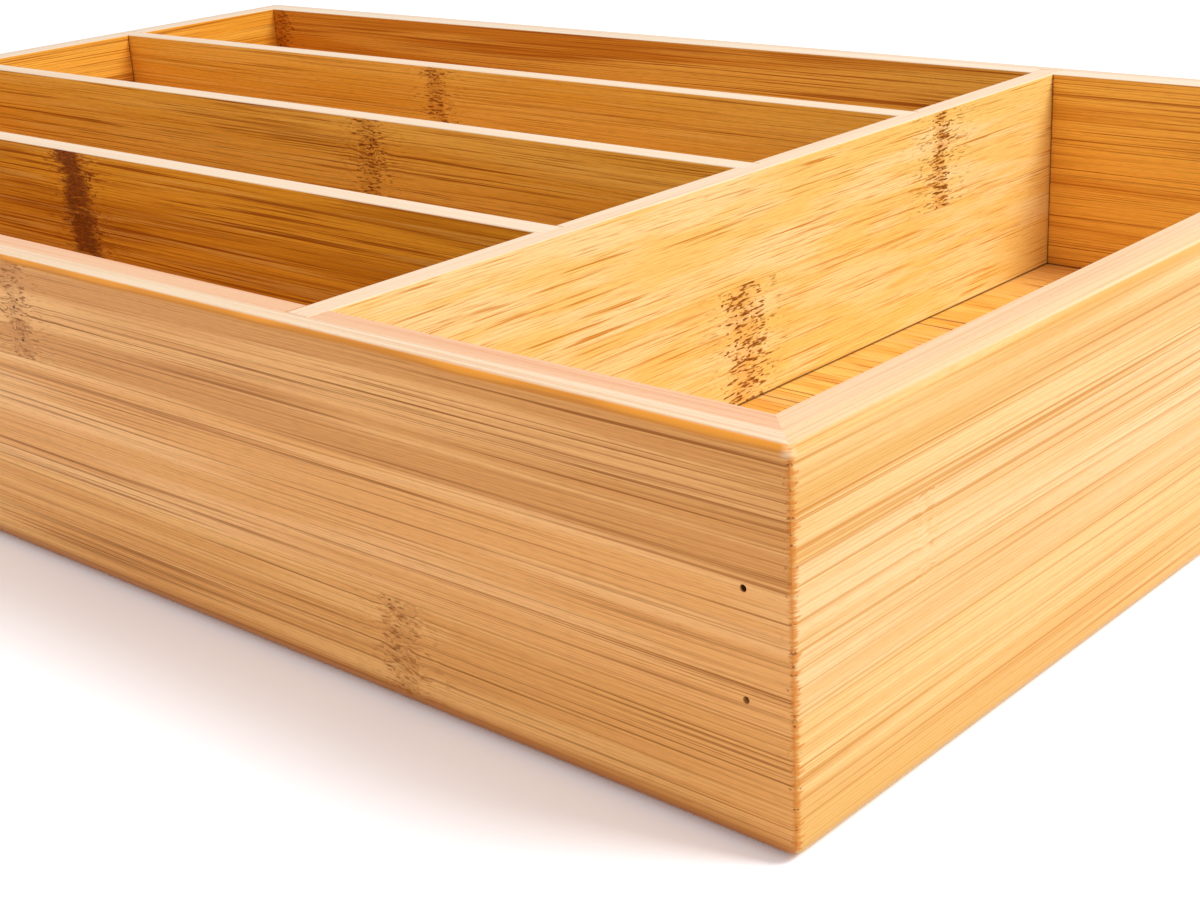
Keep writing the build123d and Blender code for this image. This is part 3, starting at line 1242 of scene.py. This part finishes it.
@dataclass
class CornerPins:
    """The headless pins, two through each end of the front and rear walls."""

    shop: Workshop
    diameter: float = 1.0
    length: float = 16.0
    point: float = 1.0
    sunk: float = 0.8
    slack: float = 0.05
    head_ease: float = 0.15
    inset_share: float = 0.88
    height_shares: Tuple[float, ...] = (0.65, 0.38)
    finish: SteelFinish = SteelFinish()

    def places(self) -> bpy.types.Mesh:
        """A point for each pin where it enters the wall, with the way it was driven."""
        sizes = self.shop.sizes
        inset = sizes.wall * self.inset_share
        spots: List[Point] = []
        ways: List[float] = []
        for end in (-1, 1):
            for side in (-1, 1):
                lean = end * (inset - sizes.wall / 2)
                way = Vector((lean, -side * (self.sunk + self.length), 0.0)).normalized()
                x, y = end * (sizes.half_length - inset) * MM, side * sizes.half_width * MM
                for share in self.height_shares:
                    spots.append((x, y, sizes.height * share * MM))
                    ways.extend(way)
        mesh = bpy.data.meshes.new("pin_places")
        mesh.from_pydata(spots, [], [])
        mesh.attributes.new("way", "FLOAT_VECTOR", "POINT").data.foreach_set("vector", ways)
        return mesh

    def holes(self) -> bpy.types.Mesh:
        """The shapes that cut the pins' holes."""
        lengths = {
            "Radius": self.diameter / 2 + self.slack,
            "Length": OVERRUN + self.sunk + self.length + self.slack,
            "Head Ease": 0.0,
            "Point Length": 0.0,
            "Sunk": -OVERRUN,
        }
        return self.shop.pins.make("pin_holes", self.places(), in_metres(lengths))

    def build(self) -> None:
        """Makes the pins and puts them on the frame."""
        lengths = {
            "Radius": self.diameter / 2,
            "Length": self.length,
            "Head Ease": self.head_ease,
            "Point Length": self.point,
            "Sunk": self.sunk,
        }
        values = {"Material": self.finish.material(), **in_metres(lengths)}
        mesh = self.shop.pins.make("corner_pins_wire", self.places(), values)
        add_piece(cleaned(mesh), "corner_pins")


@dataclass
class WallRing:
    """The four mitred walls, each an outer and an inner ply."""

    shop: Workshop
    outer_finishes: Dict[Side, BambooFinish]
    inner_finishes: Dict[Side, BambooFinish]
    holes: bpy.types.Mesh

    def outer_profile(self) -> List[Spot]:
        """The outer ply's profile: round at the rim, rounder at the foot."""
        s = self.shop.sizes
        rim = arc((s.rim_round, s.height - s.rim_round), s.rim_round, 90, RIM_FACETS)
        foot = arc((s.foot_round, s.foot_round), s.foot_round, 180, FOOT_FACETS)
        return [(s.outer_ply, s.height)] + rim + foot + [(s.outer_ply, 0.0)]

    def inner_profile(self) -> List[Spot]:
        """The inner ply's profile, with eased edges and the floor panel's groove."""
        s = self.shop.sizes
        top = arc((s.wall - s.ease, s.height - s.ease), s.ease, 0, EASE_FACETS)
        foot = arc((s.wall - s.ease, s.ease), s.ease, 270, EASE_FACETS)
        bottom = s.wall - s.groove
        groove_top = s.floor_top + s.groove_slack
        low = s.panel[0][2]
        groove = [(s.wall, low), (bottom, low), (bottom, groove_top), (s.wall, groove_top)]
        return [(s.outer_ply, 0.0)] + foot + groove + top + [(s.outer_ply, s.height)]

    def housings(self, side: Side) -> List[bpy.types.Mesh]:
        """The slots that hold the dividers in one wall.

        Args:
            side: The wall.

        Returns:
            The cutting shapes, or none.
        """
        s = self.shop.sizes
        tall = s.height - s.floor_top + OVERRUN
        middle = s.floor_top + tall / 2
        deep = s.wall - s.outer_ply + OVERRUN
        if side is Side.RIGHT:
            return []
        if side is Side.LEFT:
            count, step = len(s.rows), s.row_pitch
            start = (-s.half_length + s.outer_ply + deep / 2, s.row_middle, middle)
            block = (deep, s.slot, tall)
        else:
            low, high = s.cross
            count, step = 1, 0.0
            y = s.half_width - s.outer_ply - deep / 2
            start = ((low[0] + high[0]) / 2, -y if side is Side.FRONT else y, middle)
            block = (high[0] - low[0] + 2 * s.slot_slack, deep, tall)
        return [self.shop.slot_row(f"{side.title}_housings", count, step, start, block)]

    def build(self) -> None:
        """Makes the eight plies and puts them on the frame."""
        s = self.shop.sizes
        for side in Side:
            half = (s.half_width, s.half_length) if side.is_end else (s.half_length, s.half_width)
            plies = (
                ("outer", self.outer_profile(), self.outer_finishes, []),
                ("inner", self.inner_profile(), self.inner_finishes, self.housings(side)),
            )
            for ply, profile, finishes, housings in plies:
                tool = self.shop.cutter(f"{side.title}_{ply}_cuts", [self.holes, *housings])
                board = self.shop.board(
                    f"{side.title}_wall_{ply}_bamboo",
                    profile,
                    half,
                    self.shop.dress(finishes[side]),
                    mitre=1.0,
                    turn=side.value,
                    cutter=tool,
                )
                add_piece(board, f"{side.title}_wall_{ply}_ply")
                bpy.data.objects.remove(tool)


@dataclass
class DividerGrid:
    """The cross divider and the long dividers housed in it."""

    shop: Workshop
    cross_finish: BambooFinish
    long_finishes: Tuple[BambooFinish, ...]
    cross_housing: float = 2.0

    def profile(self, low: Point, high: Point, across: int) -> List[Spot]:
        """A divider's profile, with both top edges eased.

        Args:
            low: The divider's lowest corner.
            high: Its highest corner.
            across: The axis that its thickness lies along, 0 or 1.

        Returns:
            The profile's points.
        """
        ease = self.shop.sizes.ease
        thick = high[across] - low[across]
        right = arc((thick - ease, high[2] - ease), ease, 0, EASE_FACETS)
        left = arc((ease, high[2] - ease), ease, 90, EASE_FACETS)
        return [(0.0, low[2]), (thick, low[2])] + right + left

    def build(self) -> None:
        """Makes the dividers and puts them on the frame."""
        s = self.shop.sizes
        low, high = s.cross
        block = (self.cross_housing + OVERRUN, s.slot, high[2] - low[2] + 2 * OVERRUN)
        start = (low[0] + self.cross_housing - block[0] / 2, s.row_middle, (low[2] + high[2]) / 2)
        slots = self.shop.slot_row("cross_housings", len(s.rows), s.row_pitch, start, block)
        tool = self.shop.cutter("cross_cuts", [slots])
        cross = self.shop.board(
            "cross_divider_bamboo",
            self.profile(low, high, 0),
            (high[1], high[0]),
            self.shop.dress(self.cross_finish),
            turn=Side.RIGHT.value,
            cutter=tool,
        )
        add_piece(cross, "cross_divider")
        bpy.data.objects.remove(tool)
        for place, (low, high), finish in zip(ROWS, s.rows, self.long_finishes):
            board = self.shop.board(
                f"{place}_long_divider_bamboo",
                self.profile(low, high, 1),
                ((high[0] - low[0]) / 2, -low[1]),
                self.shop.dress(finish),
                shift=((low[0] + high[0]) / 2, 0.0, 0.0),
            )
            add_piece(board, f"{place}_long_divider")


@dataclass
class FloorPanel:
    """The panel whose edges lie in the walls' groove."""

    shop: Workshop
    finish: BambooFinish
    chamfer: float = 0.3

    def build(self) -> None:
        """Makes the panel and puts it on the frame."""
        low, high = self.shop.sizes.panel
        c, wide = self.chamfer, high[1] - low[1]
        profile = [(0.0, low[2] + c), (c, low[2]), (wide - c, low[2]), (wide, low[2] + c)]
        profile += [(wide, high[2] - c), (wide - c, high[2]), (c, high[2]), (0.0, high[2] - c)]
        board = self.shop.board("floor_panel_bamboo", profile, high[:2], self.shop.dress(self.finish))
        add_piece(board, "floor_panel")


@dataclass(frozen=True)
class Lamp:
    """One square soft lamp aimed at the tray."""

    name: str
    place: Point
    size: float
    power: float

    def build(self) -> None:
        """Adds the lamp to the scene."""
        data = bpy.data.lights.new(self.name, "AREA")
        data.shape = "SQUARE"
        data.size = self.size
        data.energy = self.power
        lamp = new_object(self.name, data)
        lamp.location = self.place
        lamp.rotation_euler = (-Vector(self.place)).to_track_quat("-Z", "Y").to_euler()


@dataclass
class Studio:
    """A white table, broad soft lamps and an even sky."""

    sky: float = 0.7
    lamps: Tuple[Lamp, ...] = (
        Lamp("window_lamp", (1.15, 0.5, 1.3), 0.75, 24.0),
        Lamp("fill_lamp", (-0.3, -1.9, 0.6), 1.4, 8.0),
    )
    table_size: float = 9.0
    table_colour: Colour = (0.88, 0.87, 0.86)
    table_seen: Colour = (1.24, 1.27, 1.34)

    def table(self) -> None:
        """The table: white to the camera, with the tray's shadow kept."""
        half = self.table_size / 2
        mesh = bpy.data.meshes.new("table")
        corners = [(-half, -half, 0.0), (half, -half, 0.0), (half, half, 0.0), (-half, half, 0.0)]
        mesh.from_pydata(corners, [], [(0, 1, 2, 3)])
        new_object("table", mesh)
        made, sketch = new_material("table_paper")
        colour = sketch.mix(self._seen(sketch), self.table_colour, self.table_seen)
        sketch.finish("ShaderNodeOutputMaterial", "ShaderNodeBsdfDiffuse", {"Color": colour})
        mesh.materials.append(made)

    @staticmethod
    def _seen(sketch: NodeSketch) -> Signal:
        """1 for rays that show the background, straight, in gloss or through glass."""
        rays = ("Is Camera Ray", "Is Glossy Ray", "Is Transmission Ray")
        straight, glossy, through = sketch.outputs("ShaderNodeLightPath", rays)
        return (straight + glossy + through).at_most(1.0)

    def lights(self) -> None:
        """The lamps and the sky."""
        for lamp in self.lamps:
            lamp.build()
        world = bpy.data.worlds.new("sky")
        bpy.context.scene.world = world
        world.use_nodes = True
        sketch = NodeSketch(world.node_tree)
        seen = self._seen(sketch)
        strength = seen + (1.0 - seen) * self.sky
        sketch.finish("ShaderNodeOutputWorld", "ShaderNodeBackground", {"Strength": strength})

    def build(self) -> None:
        """Sets up the table and the lights, and the plain view transform."""
        bpy.context.scene.view_settings.view_transform = "Standard"
        self.table()
        self.lights()


@dataclass(frozen=True)
class Viewpoint:
    """The camera, where the photograph was taken from."""

    place: Point = (0.32882670, -0.29931833, 0.14411041)
    right: Point = (0.747757, 0.661926, -0.052095)
    down: Point = (0.199026, -0.298301, -0.933491)
    forward: Point = (-0.633441, 0.687656, -0.354797)
    lens: float = 57.6344
    sensor: float = 36.0
    nearest: float = 0.01

    def build(self) -> None:
        """Makes the camera and hands it to the scene."""
        data = bpy.data.cameras.new("viewpoint")
        data.lens = self.lens
        data.sensor_width = self.sensor
        data.sensor_fit = "HORIZONTAL"
        data.clip_start = self.nearest
        camera = new_object("viewpoint", data)
        columns = (Vector(self.right), -Vector(self.down), -Vector(self.forward), Vector(self.place))
        camera.matrix_world = Matrix([[*(c[row] for c in columns)] for row in range(3)] + [[0, 0, 0, 1]])
        bpy.context.scene.camera = camera


# The two tones of a rim, from its outer face inwards
FRONT_RIM = (tone(240, 214, 180), tone(238, 188, 146))
RIGHT_RIM = (tone(240, 208, 160), tone(240, 204, 162))

# The floor panel is glued up from this many strips, over this many millimetres
FLOOR_STRIPS = 12
FLOOR_SPAN = 240.0


def divider_stains(
    axis: str, sizes: TraySizes, reach: float = 0.5, strength: float = 0.7, above: Optional[float] = None
) -> List[Stain]:
    """The painted shade lines on a board beside the dividers that meet it.

    Args:
        axis: X for both faces of the cross divider, Y for those of the long ones.
        sizes: The tray's sizes.
        reach: How wide each shade line is, in millimetres.
        strength: How dark it is.
        above: How high it starts; on the floor, if nothing is said.

    Returns:
        The painted shade lines.
    """
    above = sizes.floor_top if above is None else above
    dividers = (sizes.cross,) if axis == "X" else sizes.rows
    column = "XY".index(axis)
    return [Stain(axis, corner[column], reach, strength, above) for box in dividers for corner in box]


def front_outer_finish() -> BambooFinish:
    """The front wall's outer ply: three warm tan strips with brown streaks."""
    return BambooFinish(
        name="front_outer_bamboo",
        grain=Grain.ALONG_X,
        wall=Side.FRONT,
        strips=(
            Strip(0.0, tone(247, 186, 114), tone(226, 158, 86), 1.0, 1.0),
            Strip(19.0, tone(250, 190, 126), tone(234, 166, 96), 1.0, 4.0),
            Strip(41.0, tone(246, 184, 116), tone(216, 149, 82), 1.2, 7.0),
        ),
        streaks=Streaks(
            tone(154, 88, 20), 0.007, 1.5, 0.66, 0.3, relief=0.35, low=0.55, soft=0.13, wander=0.3
        ),
        knuckles=(
            Knuckle(122.0, 0.0, 19.0, 5.0, 0.25, 0.6, 0.2),
            Knuckle(25.0, 41.0, 60.0, 5.0, 0.25, 0.7, 0.2),
        ),
        rim=Rim(*FRONT_RIM, start=59.74, fade=0.18, band=tone(240, 156, 54)),
        foot=tone(172, 100, 30),
        corner=tone(208, 122, 42),
        # Painted shade: darker towards the right-hand end, where the light falls off
        drift=-0.5,
    )


def right_outer_finish() -> BambooFinish:
    """The right wall's outer ply: pale yellow with fine straight lines."""
    return BambooFinish(
        name="right_outer_bamboo",
        grain=Grain.ALONG_Y,
        wall=Side.RIGHT,
        strips=(
            Strip(0.0, tone(236, 192, 124), tone(224, 172, 96), 1.0, 2.0),
            Strip(22.0, tone(238, 197, 140), tone(228, 180, 114), 1.0, 5.0),
            Strip(44.0, tone(238, 194, 130), tone(222, 168, 90), 1.3, 8.0),
        ),
        streaks=Streaks(
            tone(200, 126, 20), 0.005, 1.3, 0.66, 0.34, relief=0.35, low=0.55, soft=0.15, wander=0.3
        ),
        knuckles=(Knuckle(-92.0, 30.0, 44.0, 3.5, 0.0, 0.0, 0.0, fringe=12.0, curl=0.3),),
        rim=Rim(*RIGHT_RIM, start=59.7),
        foot=tone(216, 164, 74),
        corner=tone(214, 130, 44),
    )


def plain_outer_finish(side: Side, seed: float) -> BambooFinish:
    """An outer ply whose face the photograph doesn't show, in the same bamboo.

    Args:
        side: The wall.
        seed: What sets its grain apart.

    Returns:
        The finish.
    """
    return BambooFinish(
        name=f"{side.title}_outer_bamboo",
        grain=side.grain,
        wall=side,
        strips=(
            Strip(0.0, tone(244, 196, 124), tone(230, 174, 98), 0.9, seed),
            Strip(20.0, tone(240, 188, 116), tone(224, 166, 90), 1.0, seed + 2.2),
            Strip(40.0, tone(246, 200, 130), tone(232, 178, 102), 0.9, seed + 4.4),
        ),
        streaks=Streaks(colour=tone(158, 92, 8), along=0.0025, across=0.85, thick=0.6, low=0.55),
        knuckles=(
            Knuckle(-60.0 + seed * 4, 20.0, 40.0, 5.0, 0.35, 0.8, 0.5),
            Knuckle(70.0 - seed * 5, 40.0, 60.0, 5.0, 0.35, 0.8, 0.5),
        ),
        rim=Rim(tone(240, 214, 184), tone(238, 200, 166), band=tone(232, 166, 84), start=59.84),
        foot=tone(196, 132, 60),
        corner=tone(224, 150, 66),
    )


def inner_finish(side: Side, sizes: TraySizes) -> BambooFinish:
    """An inner ply: deep orange-brown, with a pale rim.

    Args:
        side: The wall.
        sizes: The tray's sizes.

    Returns:
        The finish.
    """
    tones = {
        Side.FRONT: (tone(246, 186, 92), tone(236, 166, 70)),
        Side.REAR: (tone(252, 190, 80), tone(210, 132, 32)),
        Side.LEFT: (tone(250, 184, 72), tone(242, 166, 50)),
        Side.RIGHT: (tone(254, 204, 116), tone(248, 190, 98)),
    }[side]
    rims = {
        Side.FRONT: FRONT_RIM,
        Side.REAR: (tone(240, 206, 170), tone(242, 222, 196)),
        Side.LEFT: (tone(240, 208, 172), tone(242, 218, 190)),
        Side.RIGHT: RIGHT_RIM,
    }[side]
    rings = (Knuckle(-184.5, 34.0, 60.0, 5.0, 0.5, 0.9, 0.7),) if side is Side.REAR else ()
    # Painted shade along the joint with the floor, and beside the dividers that meet the wall
    stains = [Stain("Z", sizes.floor_top, 0.4, 0.5)]
    if side is not Side.RIGHT:
        stains += divider_stains("Y" if side is Side.LEFT else "X", sizes)
    return BambooFinish(
        name=f"{side.title}_inner_bamboo",
        grain=side.grain,
        wall=side,
        strips=(
            Strip(0.0, *tones, 0.9, 1.5 + side.value),
            Strip(36.0, *tones, 1.1, 5.5 + side.value),
        ),
        streaks=Streaks(tone(168, 88, 4), 0.008, 1.5, thick=0.66, thin=0.5, low=0.54, soft=0.13),
        knuckles=rings,
        rim=Rim(*rims, start=59.75),
        stains=tuple(stains),
        drift=0.9 if side is Side.REAR else 0.0,
    )


def cross_finish(sizes: TraySizes) -> BambooFinish:
    """The cross divider: light yellow, with short dark dashes and two dotted knuckles."""
    return BambooFinish(
        name="cross_divider_bamboo_finish",
        grain=Grain.ALONG_Y,
        strips=(
            Strip(0.0, tone(254, 228, 160), tone(250, 212, 122), 0.8, 3.0),
            Strip(38.0, tone(255, 232, 168), tone(252, 216, 128), 1.0, 6.0),
        ),
        streaks=Streaks(tone(208, 134, 8), 0.03, 1.6, thick=0.8, thin=0.5, low=0.58, ember=0.5),
        knuckles=(
            Knuckle(64.5, 38.0, 60.0, 3.5, 0.45, 1.0, 0.7, fringe=26.0),
            Knuckle(-7.5, 13.0, 38.0, 6.5, 0.35, 1.0, 0.5, fringe=26.0),
        ),
        rim=Rim(tone(242, 214, 182), tone(242, 214, 182), start=59.75),
        stains=(Stain("Z", sizes.floor_top, 0.4, 0.4),),
        drift=-0.4,
    )


def long_finish(
    name: str, seed: float, streak: float, tones: Tuple[Colour, Colour], ring: Knuckle, sizes: TraySizes
) -> BambooFinish:
    """A long divider: orange-brown with long dark streaks and one knuckle.

    Args:
        name: The finish's name.
        seed: What sets its grain apart.
        streak: How strong its dark lines are.
        tones: Its light and its deep colour.
        ring: Its knuckle.
        sizes: The tray's sizes.

    Returns:
        The finish.
    """
    return BambooFinish(
        name=name,
        grain=Grain.ALONG_X,
        strips=(Strip(0.0, *tones, streak, seed), Strip(37.0, *tones, streak, seed + 2.5)),
        streaks=Streaks(
            tone(156, 80, 0), 0.01, 1.4, thick=0.58, thin=0.4, relief=0.5, low=0.54, soft=0.14, glint=0.3
        ),
        knuckles=(ring,),
        rim=Rim(tone(244, 220, 192), tone(244, 220, 192), start=59.75),
        stains=(Stain("Z", sizes.floor_top, 0.4, 0.4),),
        drift=0.3,
    )


def long_finishes(sizes: TraySizes) -> Tuple[BambooFinish, ...]:
    """The three long dividers' finishes, from the front one to the rear one."""
    brown = (tone(230, 160, 42), tone(196, 124, 16))
    gold = (tone(250, 186, 76), tone(238, 168, 54))
    rings = (
        Knuckle(-46.0, 13.0, 60.0, 6.2, 1.5, 1.0, 0.8, lean=-0.1),
        Knuckle(-12.5, 13.0, 60.0, 5.0, 0.3, 0.9, 0.42),
        Knuckle(-50.0, 13.0, 60.0, 4.5, 0.3, 0.8, 0.4),
    )
    traits = zip(ROWS, (1.7, 4.3, 6.9), (1.7, 1.2, 0.7), (brown, gold, gold), rings)
    return tuple(
        long_finish(f"{place}_divider_bamboo", seed, streak, tones, ring, sizes)
        for place, seed, streak, tones, ring in traits
    )


def floor_finish(sizes: TraySizes) -> BambooFinish:
    """The floor panel: orange-yellow strips laid along the tray."""
    strips = tuple(
        Strip(
            index * FLOOR_SPAN / FLOOR_STRIPS,
            tone(252 - index % 3 * 3, 200 - index % 3 * 6, 108),
            tone(244 - index % 2 * 4, 180 - index % 2 * 5, 80),
            0.9,
            (index * 3.7) % SEED_RANGE,
        )
        for index in range(FLOOR_STRIPS)
    )
    # The floor's painted shade lines start just below its top face
    top = sizes.floor_top - JOINT_SHADE_FADE / 2
    return BambooFinish(
        name="floor_bamboo",
        grain=Grain.FLAT_ALONG_X,
        strips=strips,
        span=FLOOR_SPAN,
        streaks=Streaks(tone(178, 90, 6), 0.03, 1.4, thick=0.75, low=0.545),
        stains=tuple(joint_shade for axis in "XY" for joint_shade in divider_stains(axis, sizes, 0.45, 0.6, top)),
    )


def main() -> None:
    """Builds the tray round the frame, then the studio and the camera."""
    logging.basicConfig(level=logging.INFO, format="%(name)s: %(message)s")
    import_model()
    sizes = TraySizes.read()
    shop = Workshop(sizes)
    pins = CornerPins(shop)
    WallRing(
        shop,
        {
            Side.FRONT: front_outer_finish(),
            Side.RIGHT: right_outer_finish(),
            Side.REAR: plain_outer_finish(Side.REAR, 1.3),
            Side.LEFT: plain_outer_finish(Side.LEFT, 3.1),
        },
        {side: inner_finish(side, sizes) for side in Side},
        pins.holes(),
    ).build()
    DividerGrid(shop, cross_finish(sizes), long_finishes(sizes)).build()
    FloorPanel(shop, floor_finish(sizes)).build()
    pins.build()
    Studio().build()
    Viewpoint().build()


if __name__ == "__main__":
    main()
